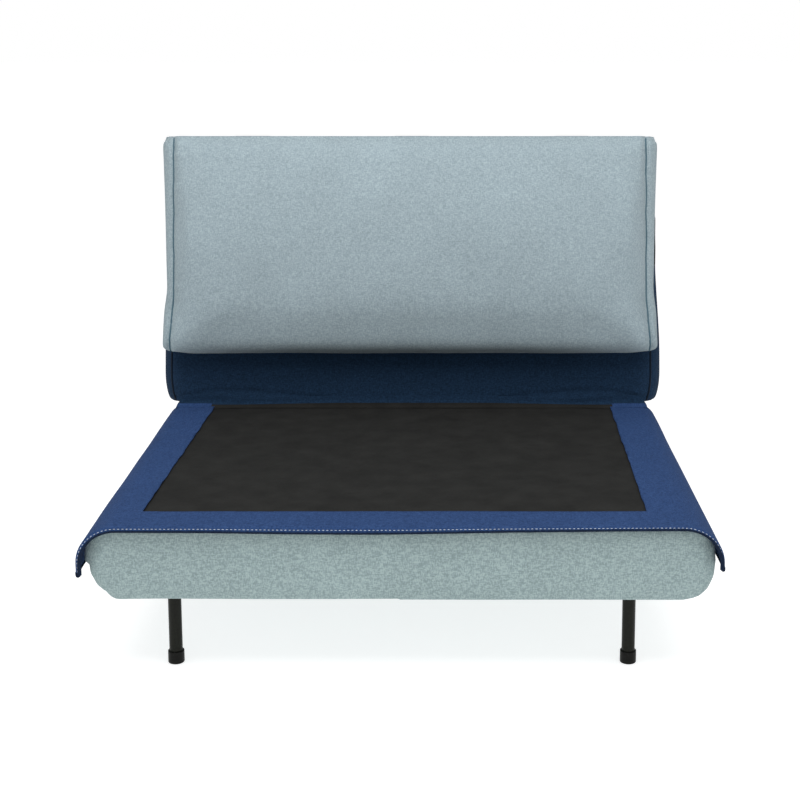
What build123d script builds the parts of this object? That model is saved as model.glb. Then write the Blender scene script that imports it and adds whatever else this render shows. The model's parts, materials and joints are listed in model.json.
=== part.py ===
from build123d import *
import math
import os

# Fold-out sofa bed for one person: a seat section on four legs, a back section that reclines flat,
# and a head section that folds down over the front of the back. Millimetres, +Z up, front towards -Y.
# The origin is on the floor, under the middle of the upright sofa.
# Each section is first laid out flat, deck side up, with its hinge axis at Y = 0, and then placed.

# --- overall sizes -------------------------------------------------------------------------------
seat_width = 1014.0        # light outer cover of the seat, without the deck cover that hangs over it
seat_reach = 752.0         # from the recline axis to the front panel
seat_thickness = 128.0
floor_clearance = 137.0    # floor to the underside of the seat section
back_width = 1033.0
back_reach = 566.0         # from the recline axis to the axis of the head hinges
back_thickness = 128.0
head_width = 1013.0
head_length = 446.0
head_thickness = 96.0
lean = 9.7                 # degrees that the upright back leans backwards
side_radius = 58.0         # round long sides of the seat and back
head_radius = 40.0

# --- soft layers ---------------------------------------------------------------------------------
outer_cover = 2.0
deck_cover = 2.5
lining = 1.2
lining_lap = 12.0          # lining hidden under the deck cover, on each side of the window
window_width = 822.0
window_front = 656.0       # recline axis to the front edge of the window
window_rear = 30.0
hem_drop = 76.8            # deck face to the middle of the hems at the sides
hem_radius = 6.0
hem_gap = 0.3              # hem to the side of the seat
fold_gap = 0.5             # each deck face stands this far back from the head hinge axis
cushion_gap = 6.0          # head hinge axis to the end of each cushion
strap_length = 110.0
strap_width = 25.0
strap_thickness = 2.4
strap_from_hinge = 160.0
strap_from_deck = 17.0      # middle of the strap to the deck side of the head cushion
strap_rounding = 3.0

# --- steel frame ---------------------------------------------------------------------------------
tube = 25.0
tube_wall = 1.5
frame_half = 425.0         # middle of the sofa to the outer face of the seat's side rails
frame_drop = 12.0          # deck face to the top of the rails
frame_side_room = 11.0     # beside the side rails, for the hinge plates and bolt heads
frame_room = 1.0           # under the leg plates
front_rail_reach = 665.0
rear_rail_reach = 75.0
rail_end = 34.0            # side rails stop this far from the recline axis
head_rail_drop = 3.5       # the back's top rail sits higher, under the hinge leaves
head_rail_back = 34.0      # head hinge axis to the middle of the back's top rail
slat_width = 50.0
slat_thickness = 6.0
slat_drop = 5.0
slat_pitch = 78.0
slat_lap = 24.0            # slat end past the inner face of the side rail
first_slat_gap = 42.0      # rear or bottom rail to the middle of the first slat
seat_last_slat_gap = 50.0  # middle of the last slat to the front rail
back_last_slat_gap = 55.0  # middle of the last slat to the back's top rail
holder_length = 42.0
holder_overhang = 8.0      # holder past the inner face of the side rail
holder_wall = 1.0
holder_rim = 3.0           # holder beside each edge of a slat
slat_fit = 0.1

# --- legs ----------------------------------------------------------------------------------------
leg_diameter = 22.0
leg_wall = 1.5
leg_half_spacing = 376.0
leg_plug = 24.0
cap_diameter = 27.0
cap_height = 21.0
cap_floor = 4.0
cap_rounding = 1.5
leg_plate = 60.0
leg_plate_thickness = 4.0
leg_plate_gap = 3.0        # foam around the leg plates
leg_hole_clearance = 2.0
leg_bolt_gap = 3.0         # end of a leg bolt to the bottom of its plug

# --- recline hinges ------------------------------------------------------------------------------
hinge_inset = 14.0         # recline axis below the deck face, and before the end of each cushion
plate_thickness = 4.0
plate_gap = 0.3
plate_length = 150.0
plate_eye = 11.0
plate_margin = 2.0         # lower edge of a plate above the underside of its rail
plate_rounding = 6.0
pivot_radius = 5.0
pivot_head_radius = 8.5
pivot_head_height = 5.0
pivot_tail = 2.0
running_fit = 0.05
bolt_radius = 3.0
bolt_head_radius = 5.5
bolt_head_height = 3.0
bolt_nut_height = 5.0
bolt_tail = 1.0
bolt_fit = 0.05
press_fit = 0.02
bolt_spots = (50.0, 125.0)
nut_room = 12.0            # beside the rails, for the plate bolts' nuts
washer_radius = 9.0
washer_thickness = 1.5
washer_gap = 0.05
nut_radius = 8.5
nut_height = 7.0

# --- head hinges ---------------------------------------------------------------------------------
knuckle_radius = 4.0
pin_radius = 2.2
leaf_thickness = 3.0
leaf_length = 70.0
leaf_width = 42.0
knuckle_gap = 0.4
head_hinge_spots = (-330.0, 0.0, 330.0)
board_thickness = 12.0
board_half = 430.0
board_start = 12.0
board_length = 380.0
screw_radius = 2.0
screw_length = 10.0
screw_half_spacing = 22.0

# --- rear stand ----------------------------------------------------------------------------------
stand_from_head = 92.0     # stand's pivot to the axis of the head hinges, along the back
stand_outset = 16.0        # pivot behind the back's rear face
stand_tube = 22.0
stand_arm_tube = 20.0
stand_eye_radius = 12.5
stand_eye_length = 22.0
stand_bracket = 4.0
bracket_width = 40.0
bracket_eye_radius = 13.0
bracket_clearance = 1.0
bracket_bolt_tail = 3.5
stand_pivot_radius = 4.0
stand_head_radius = 6.5
stand_head_height = 4.0
glide_radius = 13.0
glide_length = 40.0
glide_half_spacing = 300.0
side_clearance = 0.5

# --- worked out from the sizes above -------------------------------------------------------------
deck_height = floor_clearance + seat_thickness
axis_height = deck_height - hinge_inset
back_turn = 90.0 - lean
lean_sin = math.sin(math.radians(lean))
lean_cos = math.cos(math.radians(lean))
stand_depth = back_thickness - hinge_inset + stand_outset
stand_reach = back_reach - stand_from_head
rear_reach = stand_reach * lean_sin + stand_depth * lean_cos + glide_radius
axis_y = (seat_reach - rear_reach) / 2
rail_top = hinge_inset - frame_drop
recess_half = frame_half + frame_side_room
recess_depth = frame_drop + tube + leg_plate_thickness + frame_room
rail_middle = rail_top - tube / 2
back_frame_half = frame_half - plate_thickness - plate_gap
stand_drop = axis_height - stand_depth - glide_radius
bracket_half = back_frame_half - tube
arm_x = bracket_half - stand_bracket - side_clearance - stand_eye_length / 2
stand_y = axis_y + stand_reach * lean_sin + stand_depth * lean_cos
stand_z = axis_height + stand_reach * lean_cos - stand_depth * lean_sin

SEAT = Pos(0, axis_y, axis_height)
BACK = SEAT * Rot(back_turn, 0, 0)
HEAD = BACK * Pos(0, back_reach, hinge_inset) * Rot(180, 0, 0)
STAND = Pos(0, stand_y, stand_z)


# --- general shapes ------------------------------------------------------------------------------
def block(x, y, z):
    """A box from three (low, high) pairs."""
    centre = Pos((x[0] + x[1]) / 2, (y[0] + y[1]) / 2, (z[0] + z[1]) / 2)
    return centre * Box(x[1] - x[0], y[1] - y[0], z[1] - z[0])


def round_block(width, y, z, radius):
    """A bar of rounded rectangular section that runs along Y."""
    height = z[1] - z[0]
    face = Plane(origin=(0, y[0], (z[0] + z[1]) / 2), x_dir=(1, 0, 0), z_dir=(0, 1, 0))
    section = RectangleRounded(width, height, min(radius, height / 2 - 0.5))
    return extrude(face * section, amount=y[1] - y[0])


def rod(radius, start, end, axis):
    """A round bar along one axis letter, through (x, y, z) start, to coordinate end."""
    place = {"X": Plane.YZ, "Y": Plane.ZX, "Z": Plane.XY}[axis]
    length = end - start["XYZ".index(axis)]
    disc = Plane(origin=start, x_dir=place.x_dir, z_dir=place.z_dir) * Circle(radius)
    return extrude(disc, amount=length)


def square_tube(x, y, z, along):
    """A square steel tube that fills the box, hollow along X or Y."""
    inset = [tube_wall, tube_wall, tube_wall]
    inset["XY".index(along)] = 0.0
    inner = [(low + gap, high - gap) for (low, high), gap in zip((x, y, z), inset)]
    return block(x, y, z) - block(*inner)


def headed_bolt(radius, length, head_radius, head_height):
    """A bolt that points down, its head's underside at Z = 0."""
    head = extrude(RegularPolygon(head_radius, 6), amount=head_height)
    return head + rod(radius, (0, 0, -length), 0, "Z")


def mirrored(shape):
    """The same shape on the other side of the middle."""
    return mirror(shape, about=Plane.YZ)


# --- section cushions ----------------------------------------------------------------------------
def cushion_recess(reach, low, flip):
    """The pocket for the frame from height low upwards, with channels to the recline hinges."""
    y = (-reach, 0) if flip else (0, reach)
    pocket = block((-recess_half, recess_half), y, (low, hinge_inset + 1))
    bolster_half = back_frame_half - tube - nut_room
    bolster_y = (0, rear_rail_reach - tube / 2 - 1)
    if flip:
        bolster_y = (-bolster_y[1], 0)
    return pocket - block((-bolster_half, bolster_half), bolster_y, (low - 1, hinge_inset + 2))


def recess_low():
    return hinge_inset - recess_depth


def seat_span(inset):
    return (-seat_reach + inset, -hinge_inset)


def leg_spots():
    """X and Y of each leg in the seat's layout, by name."""
    return {
        f"{end}_{side}": (sign * leg_half_spacing, -reach)
        for end, reach in (("front", front_rail_reach), ("rear", rear_rail_reach))
        for side, sign in (("left", -1), ("right", 1))
    }


def leg_holes():
    radius = leg_diameter / 2 + leg_hole_clearance
    low = hinge_inset - seat_thickness - 1
    return [rod(radius, (x, y, low), hinge_inset, "Z") for x, y in leg_spots().values()]


def seat_body(inset):
    """The seat's rounded block, shrunk on every outer face by inset."""
    z = (hinge_inset - seat_thickness + inset, hinge_inset - deck_cover)
    return round_block(seat_width - 2 * inset, seat_span(inset), z, side_radius - inset)


def leg_plate_room():
    """Room in the foam around each leg plate."""
    half = leg_plate / 2 + leg_plate_gap
    z = (recess_low(), hinge_inset)
    return [block((x - half, x + half), (y - half, y + half), z) for x, y in leg_spots().values()]


def seat_foam():
    recess = cushion_recess(front_rail_reach + leg_plate / 2 + leg_plate_gap, recess_low(), True)
    return seat_body(outer_cover) - recess - leg_plate_room() - leg_holes() - seat_lining()


def seat_outer_cover():
    room = cushion_recess(front_rail_reach, recess_low(), True)
    skin = seat_body(0) - seat_body(outer_cover)
    return skin - room - leg_holes()


def deck_shell(width, thickness, y, radius, drop):
    """A cover that lies on the deck face and hangs down both sides."""
    outer_z = (hinge_inset - thickness, hinge_inset)
    outer = round_block(width + 2 * deck_cover, y, outer_z, radius + deck_cover)
    inner_z = (hinge_inset - thickness, hinge_inset - deck_cover)
    inner = round_block(width + 0.01, y, inner_z, radius)
    keep = block((-width, width), y, (hinge_inset - drop, hinge_inset + 1))
    return (outer - inner) & keep


def seat_deck_cover():
    y = (-seat_reach, -hinge_inset)
    shell = deck_shell(seat_width, seat_thickness, y, side_radius, hem_drop)
    half = window_width / 2
    window = block((-half, half), (-window_front, -window_rear), (0, hinge_inset + 1))
    hem_x = seat_width / 2 + hem_radius + hem_gap
    hem = rod(hem_radius, (hem_x, y[0], hinge_inset - hem_drop), y[1], "Y")
    return shell - window + hem + mirrored(hem)


def seat_lining():
    half = window_width / 2 + lining_lap
    y = (-window_front - lining_lap, -window_rear + lining_lap)
    top = hinge_inset - deck_cover
    return block((-half, half), y, (top - lining, top))


def back_span(inset):
    return (hinge_inset, back_reach - cushion_gap - inset)


def back_top():
    return hinge_inset - fold_gap


def back_body(inset):
    z = (hinge_inset - back_thickness + inset, back_top() - deck_cover)
    return round_block(back_width - 2 * inset, back_span(inset), z, side_radius - inset)


def bracket_slots():
    """Slits that the stand's brackets pass through."""
    gap = bracket_clearance
    x = (bracket_half - stand_bracket - gap, bracket_half + gap)
    y = (stand_reach - bracket_width / 2 - gap, stand_reach + bracket_width / 2 + gap)
    slot = block(x, y, (-back_thickness, hinge_inset - recess_depth + 1))
    return slot + mirrored(slot)


def back_foam():
    return back_body(outer_cover) - cushion_recess(back_reach, recess_low(), False) - bracket_slots()


def back_outer_cover():
    room = cushion_recess(back_reach, recess_low(), False)
    return back_body(0) - back_body(outer_cover) - room - bracket_slots()


def back_deck_cover():
    shell = deck_shell(back_width, back_thickness, back_span(0), side_radius, back_thickness / 2)
    trim = block((-back_width, back_width), (0, back_reach), (back_top(), hinge_inset + 1))
    lower = Pos(0, 0, -fold_gap) * shell
    half_hinge = leaf_length / 2 + 1
    y = (back_reach - leaf_width - 1, back_reach)
    cuts = [
        block((spot - half_hinge, spot + half_hinge), y, (0, hinge_inset + 1))
        for spot in head_hinge_spots
    ]
    return lower - trim - cuts


def head_body(inset):
    z = (-head_thickness + inset, -fold_gap - deck_cover)
    y = (cushion_gap + inset, cushion_gap + head_length - inset)
    return round_block(head_width - 2 * inset, y, z, head_radius - inset)


def head_pocket():
    """Room for the stiffening board and the hinge leaves, open at the deck face."""
    y = (board_start - 1, board_start + board_length + 1)
    x = (-board_half - 1, board_half + 1)
    pocket = block(x, y, (-head_rail_drop - board_thickness - 1, 0))
    low = -fold_gap - leaf_thickness - screw_length - 1
    half_hinge = leaf_length / 2 + 1
    leaves = [
        block((spot - half_hinge, spot + half_hinge), (0, leaf_width + 1), (low, 0))
        for spot in head_hinge_spots
    ]
    return pocket + leaves


def head_foam():
    return head_body(outer_cover) - head_pocket()


def head_outer_cover():
    return head_body(0) - head_body(outer_cover) - head_pocket()


def head_deck_cover():
    half = head_width / 2 - head_radius
    y = (cushion_gap, cushion_gap + head_length)
    sheet = block((-half, half), y, (-fold_gap - deck_cover, -fold_gap))
    half_hinge = leaf_length / 2 + 1
    cuts = [
        block((spot - half_hinge, spot + half_hinge), (0, leaf_width + 1), (-10, 1))
        for spot in head_hinge_spots
    ]
    return sheet - cuts


def head_board():
    y = (board_start, board_start + board_length)
    z = (-head_rail_drop - board_thickness, -head_rail_drop)
    holes = [hole for spot in head_hinge_spots for hole in leaf_screws(spot, screw_radius)]
    return block((-board_half, board_half), y, z) - holes


def pull_strap():
    """A webbing tab sewn along the head cushion's side seam."""
    x = head_width / 2 + 0.1
    y = (strap_from_hinge, strap_from_hinge + strap_length)
    z = (-strap_from_deck - strap_width / 2, -strap_from_deck + strap_width / 2)
    return fillet(block((x, x + strap_thickness), y, z).edges().filter_by(Axis.X), strap_rounding)


# --- frame ---------------------------------------------------------------------------------------
def seat_side_rail(sign):
    x = sorted((sign * (frame_half - tube), sign * frame_half))
    y = (-front_rail_reach - tube / 2, -rail_end)
    rail = square_tube(x, y, (rail_top - tube, rail_top), "Y")
    return rail - [plate_hole(sign, -spot, frame_half) for spot in bolt_spots]


def plate_hole(sign, y, outer):
    """A bolt hole across a side rail and its hinge plate."""
    radius = bolt_radius + bolt_fit
    reach = sorted((sign * (outer - tube - 1), sign * (outer + plate_thickness + 1)))
    return rod(radius, (reach[0], y, rail_middle), reach[1], "X")


def seat_cross_rail(reach, with_legs):
    half = frame_half - tube
    z = (rail_top - tube, rail_top)
    rail = square_tube((-half, half), (-reach - tube / 2, -reach + tube / 2), z, "X")
    if not with_legs:
        return rail
    radius = pivot_radius + bolt_fit
    holes = [
        rod(radius, (sign * leg_half_spacing, -reach, z[0] - 1), z[1] + 1, "Z")
        for sign in (-1, 1)
    ]
    return rail - holes


def back_side_rail(sign):
    x = sorted((sign * (back_frame_half - tube), sign * back_frame_half))
    y = (rail_end, back_reach - cushion_gap - outer_cover - 1)
    rail = square_tube(x, y, (rail_top - tube, rail_top), "Y")
    holes = [plate_hole(sign, spot, back_frame_half) for spot in bolt_spots]
    return rail - holes - [bracket_hole(sign, spot) for spot in bracket_bolt_spots()]


def bracket_bolt_spots():
    return (stand_reach - bracket_width / 4, stand_reach + bracket_width / 4)


def bracket_hole(sign, y):
    inner, outer = bracket_half - stand_bracket - 1, back_frame_half + 1
    reach = sorted((sign * inner, sign * outer))
    return rod(bolt_radius + bolt_fit, (reach[0], y, rail_middle), reach[1], "X")


def back_bottom_rail():
    half = back_frame_half - tube
    y = (rear_rail_reach - tube / 2, rear_rail_reach + tube / 2)
    return square_tube((-half, half), y, (rail_top - tube, rail_top), "X")


def back_top_rail():
    half = back_frame_half - tube
    middle = back_reach - head_rail_back
    top = hinge_inset - head_rail_drop
    y = (middle - tube / 2, middle + tube / 2)
    rail = square_tube((-half, half), y, (top - tube, top), "X")
    return rail - [back_leaf_hole(spot, sign) for spot in head_hinge_spots for sign in (-1, 1)]


def slat_rows(first, last):
    """Evenly spaced slat places between two distances from the axis, close to the pitch."""
    count = max(2, round((last - first) / slat_pitch) + 1)
    return [first + (last - first) * i / (count - 1) for i in range(count)]


def slats(rows, half):
    top = hinge_inset - slat_drop
    reach = half - tube + slat_lap
    return Compound(children=[
        block((-reach, reach), (y - slat_width / 2, y + slat_width / 2), (top - slat_thickness, top))
        for y in rows
    ])


def slat_holders(rows, half):
    """Plastic shoes on the side rails, each around one end of a slat."""
    reach = half - tube + slat_lap
    outer = (half - tube - holder_overhang, half - tube - holder_overhang + holder_length)
    slat_top = hinge_inset - slat_drop
    z = (rail_top, slat_top + holder_wall)
    shoes = []
    for y in rows:
        wide = slat_width / 2 + holder_rim
        shoe = block(outer, (y - wide, y + wide), z)
        slot_y = (y - slat_width / 2 - slat_fit, y + slat_width / 2 + slat_fit)
        slot_z = (slat_top - slat_thickness - slat_fit, slat_top + slat_fit)
        shoe -= block((outer[0] - 1, reach + slat_fit), slot_y, slot_z)
        shoes += [shoe, mirrored(shoe)]
    return Compound(children=shoes)


def seat_rows():
    return [-row for row in slat_rows(rear_rail_reach + first_slat_gap, front_rail_reach - seat_last_slat_gap)]


def back_rows():
    last = back_reach - head_rail_back - back_last_slat_gap
    return slat_rows(rear_rail_reach + first_slat_gap, last)


# --- legs ----------------------------------------------------------------------------------------
def plate_bottom():
    return rail_top - tube - leg_plate_thickness


def leg(x, y):
    radius = leg_diameter / 2
    foot = -axis_height + cap_floor
    pipe = rod(radius, (x, y, foot), plate_bottom(), "Z")
    pipe -= rod(radius - leg_wall, (x, y, foot - 1), plate_bottom() - leg_plug, "Z")
    return pipe - rod(pivot_radius + bolt_fit, (x, y, foot), plate_bottom() + 1, "Z")


def foot_cap(x, y):
    low = -axis_height
    cap = rod(cap_diameter / 2, (x, y, low), low + cap_height, "Z")
    cap = fillet(cap.edges(), cap_rounding)
    bore = leg_diameter / 2 + running_fit
    return cap - rod(bore, (x, y, low + cap_floor), low + cap_height + 1, "Z")


def leg_plates():
    half = leg_plate / 2
    top = rail_top - tube
    plates = []
    for x, y in leg_spots().values():
        rim = min(half, frame_half - leg_half_spacing)
        plate = block((x - rim, x + rim), (y - half, y + half), (plate_bottom(), top))
        plates.append(plate - rod(pivot_radius + bolt_fit, (x, y, plate_bottom() - 1), top + 1, "Z"))
    return Compound(children=plates)


def leg_bolts():
    length = tube + leg_plate_thickness + leg_plug - leg_bolt_gap
    bolt = headed_bolt(pivot_radius, length, pivot_head_radius, pivot_head_height)
    return Compound(children=[Pos(x, y, rail_top) * bolt for x, y in leg_spots().values()])


# --- recline hinges ------------------------------------------------------------------------------
def hinge_plate(inner, sign, direction):
    """A strip on a side rail whose rounded eye surrounds the recline axis."""
    x = sorted((sign * inner, sign * (inner + plate_thickness)))
    y = sorted((0, direction * plate_length))
    eye = rod(plate_eye, (x[0], 0, 0), x[1], "X")
    strip = block(x, y, (rail_top - tube + plate_margin, rail_top))
    far_edges = strip.edges().filter_by(Axis.X).group_by(Axis.Y)[0 if direction < 0 else -1]
    strip = fillet(far_edges, plate_rounding)
    plate = strip + eye
    fit = running_fit if direction > 0 else bolt_fit
    plate -= rod(pivot_radius + fit, (x[0] - 1, 0, 0), x[1] + 1, "X")
    return plate - [plate_hole(sign, direction * spot, inner) for spot in bolt_spots]


def plate_bolts(outer, direction):
    """Bolts through the rails and plates, with their nuts on the inside."""
    pieces = []
    for sign in (-1, 1):
        for spot in bolt_spots:
            place = Pos(sign * (outer + plate_thickness), direction * spot, rail_middle)
            length = plate_thickness + tube + bolt_nut_height + bolt_tail
            bolt = headed_bolt(bolt_radius, length, bolt_head_radius, bolt_head_height)
            nut = extrude(RegularPolygon(bolt_head_radius, 6), amount=bolt_nut_height)
            nut = Pos(0, 0, -plate_thickness - tube - bolt_nut_height) * nut
            pieces.append(place * Rot(0, sign * 90, 0) * (bolt + nut))
    return Compound(children=pieces)


def pivot_bolts():
    length = 2 * plate_thickness + plate_gap + washer_thickness + nut_height + pivot_tail
    bolt = headed_bolt(pivot_radius, length, pivot_head_radius, pivot_head_height)
    place = frame_half + plate_thickness
    right = Pos(place, 0, 0) * Rot(0, 90, 0) * bolt
    return Compound(children=[right, mirrored(right)])


def pivot_washers():
    face = back_frame_half
    ring = rod(washer_radius, (face - washer_thickness, 0, 0), face - washer_gap, "X")
    ring -= rod(pivot_radius + running_fit, (face - washer_thickness - 1, 0, 0), face + 1, "X")
    return Compound(children=[ring, mirrored(ring)])


def pivot_nuts():
    face = back_frame_half - washer_thickness
    nut = extrude(Plane.YZ * RegularPolygon(nut_radius, 6), amount=nut_height)
    nut = Pos(face - nut_height, 0, 0) * nut
    nut -= rod(pivot_radius + bolt_fit, (face - nut_height - 1, 0, 0), face + 1, "X")
    return Compound(children=[nut, mirrored(nut)])


# --- head hinges ---------------------------------------------------------------------------------
def knuckle_spans(spot):
    """Low and high X of the three knuckles of a hinge, outer, inner, outer."""
    third = leaf_length / 3
    low = spot - leaf_length / 2
    gap = knuckle_gap / 2
    return [(low + third * i + gap, low + third * (i + 1) - gap) for i in range(3)]


def hinge_leaf(spot, chosen, reach):
    """A leaf on the deck side, lying from the axis at Y = 0, with the chosen knuckles."""
    y = sorted((0, reach))
    half = leaf_length / 2
    inner = math.copysign(knuckle_radius + 1.0, reach)
    z = (-fold_gap - leaf_thickness, -fold_gap)
    leaf = block((spot - half, spot + half), sorted((inner, reach)), z)
    for index in chosen:
        x = knuckle_spans(spot)[index]
        leaf += block(x, (0, y[1]) if reach > 0 else (y[0], 0), z)
        leaf += rod(knuckle_radius, (x[0], 0, 0), x[1], "X")
    leaf -= rod(pin_radius + running_fit, (spot - half - 1, 0, 0), spot + half + 1, "X")
    return leaf


def leaf_screws(spot, radius):
    """Two screws through a head leaf into the board."""
    y = (leaf_width + board_start) / 2
    low = -fold_gap - screw_length
    places = [(spot + sign * screw_half_spacing, y, low) for sign in (-1, 1)]
    return [rod(radius, place, -fold_gap, "Z") for place in places]


def back_leaf_hole(spot, sign):
    top = hinge_inset - fold_gap
    x = spot + sign * screw_half_spacing
    start = (x, back_reach - head_rail_back, top - screw_length)
    return rod(screw_radius + press_fit, start, top + 1, "Z")


def back_leaves():
    leaves = []
    for spot in head_hinge_spots:
        leaf = Pos(0, back_reach, hinge_inset) * hinge_leaf(spot, (0, 2), -leaf_width)
        leaves.append(leaf - [back_leaf_hole(spot, sign) for sign in (-1, 1)])
    return Compound(children=leaves)


def back_leaf_screws():
    top = hinge_inset - fold_gap
    y = back_reach - head_rail_back
    return Compound(children=[
        rod(screw_radius, (spot + sign * screw_half_spacing, y, top - screw_length), top, "Z")
        for spot in head_hinge_spots
        for sign in (-1, 1)
    ])


def head_leaves():
    leaves = []
    for spot in head_hinge_spots:
        leaves.append(hinge_leaf(spot, (1,), leaf_width) - leaf_screws(spot, screw_radius))
    return Compound(children=leaves)


def head_leaf_screws():
    return Compound(children=[s for spot in head_hinge_spots for s in leaf_screws(spot, screw_radius)])


def head_pins():
    half = leaf_length / 2
    return Compound(children=[
        rod(pin_radius, (spot - half, back_reach, hinge_inset), spot + half, "X")
        for spot in head_hinge_spots
    ])


# --- rear stand ----------------------------------------------------------------------------------
def stand_plate(sign):
    """A steel bracket from a side rail, through the cushion, to the stand's pivot."""
    x = sorted((sign * (bracket_half - stand_bracket), sign * bracket_half))
    y = (stand_reach - bracket_width / 2, stand_reach + bracket_width / 2)
    plate = block(x, y, (hinge_inset - stand_outset - back_thickness, rail_top - 1))
    plate += rod(bracket_eye_radius, (x[0], stand_reach, -stand_depth), x[1], "X")
    plate &= block(x, y, (-stand_depth - bracket_eye_radius, rail_top))
    plate -= rod(stand_pivot_radius + bolt_fit, (x[0] - 1, stand_reach, -stand_depth), x[1] + 1, "X")
    return plate - [bracket_hole(sign, spot) for spot in bracket_bolt_spots()]


def bracket_bolts():
    pieces = []
    for sign in (-1, 1):
        for spot in bracket_bolt_spots():
            place = Pos(sign * (bracket_half - stand_bracket), spot, rail_middle)
            length = stand_bracket + tube + bracket_bolt_tail
            bolt = headed_bolt(bolt_radius, length, bolt_head_radius, bolt_head_height)
            pieces.append(place * Rot(0, -sign * 90, 0) * bolt)
    return Compound(children=pieces)


def stand_pivots():
    """Bolts that the stand's arms swing on."""
    length = stand_bracket + side_clearance + stand_eye_length + bolt_tail
    bolt = headed_bolt(stand_pivot_radius, length, stand_head_radius, stand_head_height)
    right = Pos(bracket_half, stand_reach, -stand_depth) * Rot(0, 90, 0) * bolt
    return Compound(children=[right, mirrored(right)])


def stand_bar():
    half = arm_x + stand_eye_length / 2
    return rod(stand_tube / 2, (-half, 0, -stand_drop), half, "X")


def stand_arm(sign):
    """A short leg that hangs from its eye and is coped onto the floor bar."""
    x = sign * arm_x
    half = stand_eye_length / 2
    arm = rod(stand_arm_tube / 2, (x, 0, -stand_drop), 0, "Z")
    arm += rod(stand_eye_radius, (x - half, 0, 0), x + half, "X")
    arm -= rod(stand_pivot_radius + running_fit, (x - half - 1, 0, 0), x + half + 1, "X")
    return arm - stand_bar()


def stand_glides():
    """Rubber sleeves that meet the floor when the bed is open."""
    sleeves = []
    for sign in (-1, 1):
        low = sign * glide_half_spacing - glide_length / 2
        high = low + glide_length
        sleeve = rod(glide_radius, (low, 0, -stand_drop), high, "X")
        bore = rod(stand_tube / 2 + press_fit, (low - 1, 0, -stand_drop), high + 1, "X")
        sleeves.append(sleeve - bore)
    return Compound(children=sleeves)


# --- assembly ------------------------------------------------------------------------------------
def seat_parts():
    middle_reach = (front_rail_reach + rear_rail_reach) / 2
    parts = {
        "seat_front_rail": seat_cross_rail(front_rail_reach, True),
        "seat_middle_rail": seat_cross_rail(middle_reach, False),
        "seat_rear_rail": seat_cross_rail(rear_rail_reach, True),
        "seat_slats": slats(seat_rows(), frame_half),
        "seat_slat_holders": slat_holders(seat_rows(), frame_half),
        "seat_foam": seat_foam(),
        "seat_cover": seat_outer_cover(),
        "seat_deck_cover": seat_deck_cover(),
        "seat_lining": seat_lining(),
        "leg_plates": leg_plates(),
        "leg_bolts": leg_bolts(),
        "fixed_plate_bolts": plate_bolts(frame_half, -1),
        "pivot_bolts": pivot_bolts(),
        "pivot_washers": pivot_washers(),
        "pivot_nuts": pivot_nuts(),
    }
    for side, sign in (("left", -1), ("right", 1)):
        parts[f"seat_side_rail_{side}"] = seat_side_rail(sign)
        parts[f"fixed_plate_{side}"] = hinge_plate(frame_half, sign, -1)
    for spot, (x, y) in leg_spots().items():
        parts[f"leg_{spot}"] = leg(x, y)
        parts[f"foot_cap_{spot}"] = foot_cap(x, y)
    return parts


def back_parts():
    parts = {
        "back_bottom_rail": back_bottom_rail(),
        "back_top_rail": back_top_rail(),
        "back_slats": slats(back_rows(), back_frame_half),
        "back_slat_holders": slat_holders(back_rows(), back_frame_half),
        "back_foam": back_foam(),
        "back_cover": back_outer_cover(),
        "back_deck_cover": back_deck_cover(),
        "moving_plate_bolts": plate_bolts(back_frame_half, 1),
        "stand_bracket_bolts": bracket_bolts(),
        "stand_pivot_bolts": stand_pivots(),
        "back_hinge_leaves": back_leaves(),
        "back_leaf_screws": back_leaf_screws(),
        "head_hinge_pins": head_pins(),
    }
    for side, sign in (("left", -1), ("right", 1)):
        parts[f"back_side_rail_{side}"] = back_side_rail(sign)
        parts[f"moving_plate_{side}"] = hinge_plate(back_frame_half, sign, 1)
        parts[f"stand_bracket_{side}"] = stand_plate(sign)
    return parts


def head_parts():
    return {
        "head_board": head_board(),
        "head_foam": head_foam(),
        "head_cover": head_outer_cover(),
        "head_deck_cover": head_deck_cover(),
        "head_hinge_leaves": head_leaves(),
        "head_leaf_screws": head_leaf_screws(),
        "head_pull_strap": pull_strap(),
    }


def stand_parts():
    return {
        "stand_arm_left": stand_arm(-1),
        "stand_arm_right": stand_arm(1),
        "stand_bar": stand_bar(),
        "stand_glides": stand_glides(),
    }


def main():
    os.makedirs("parts", exist_ok=True)
    groups = ((SEAT, seat_parts()), (BACK, back_parts()), (HEAD, head_parts()), (STAND, stand_parts()))
    for place, parts in groups:
        for name, shape in parts.items():
            export_step(place * shape, f"parts/{name}.step")
    print("recline axis", round(axis_y, 4), round(axis_height, 4))
    head_y = axis_y + back_reach * lean_sin - hinge_inset * lean_cos
    head_z = axis_height + back_reach * lean_cos + hinge_inset * lean_sin
    print("head axis", round(head_y, 4), round(head_z, 4))
    print("stand axis", round(stand_y, 4), round(stand_z, 4))


main()
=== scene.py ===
# %% [markdown]
# # A fold-out sofa bed in fabric and tube
# The steel frame, hinges, slats and legs come finished from the CAD frame. What is made here is the soft
# part: three stuffed cushions, the navy deck cover with its stitched hem, the black lining, the seams and
# the finishes. Every piece is laid out flat in its own section's frame, as it would lie on a sewing table,
# and then carried to its place by that section's matrix.

# %% The fixed frame
import bpy
import bmesh
import json
import math
from mathutils import Matrix, Vector, noise
from mathutils.bvhtree import BVHTree


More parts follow.
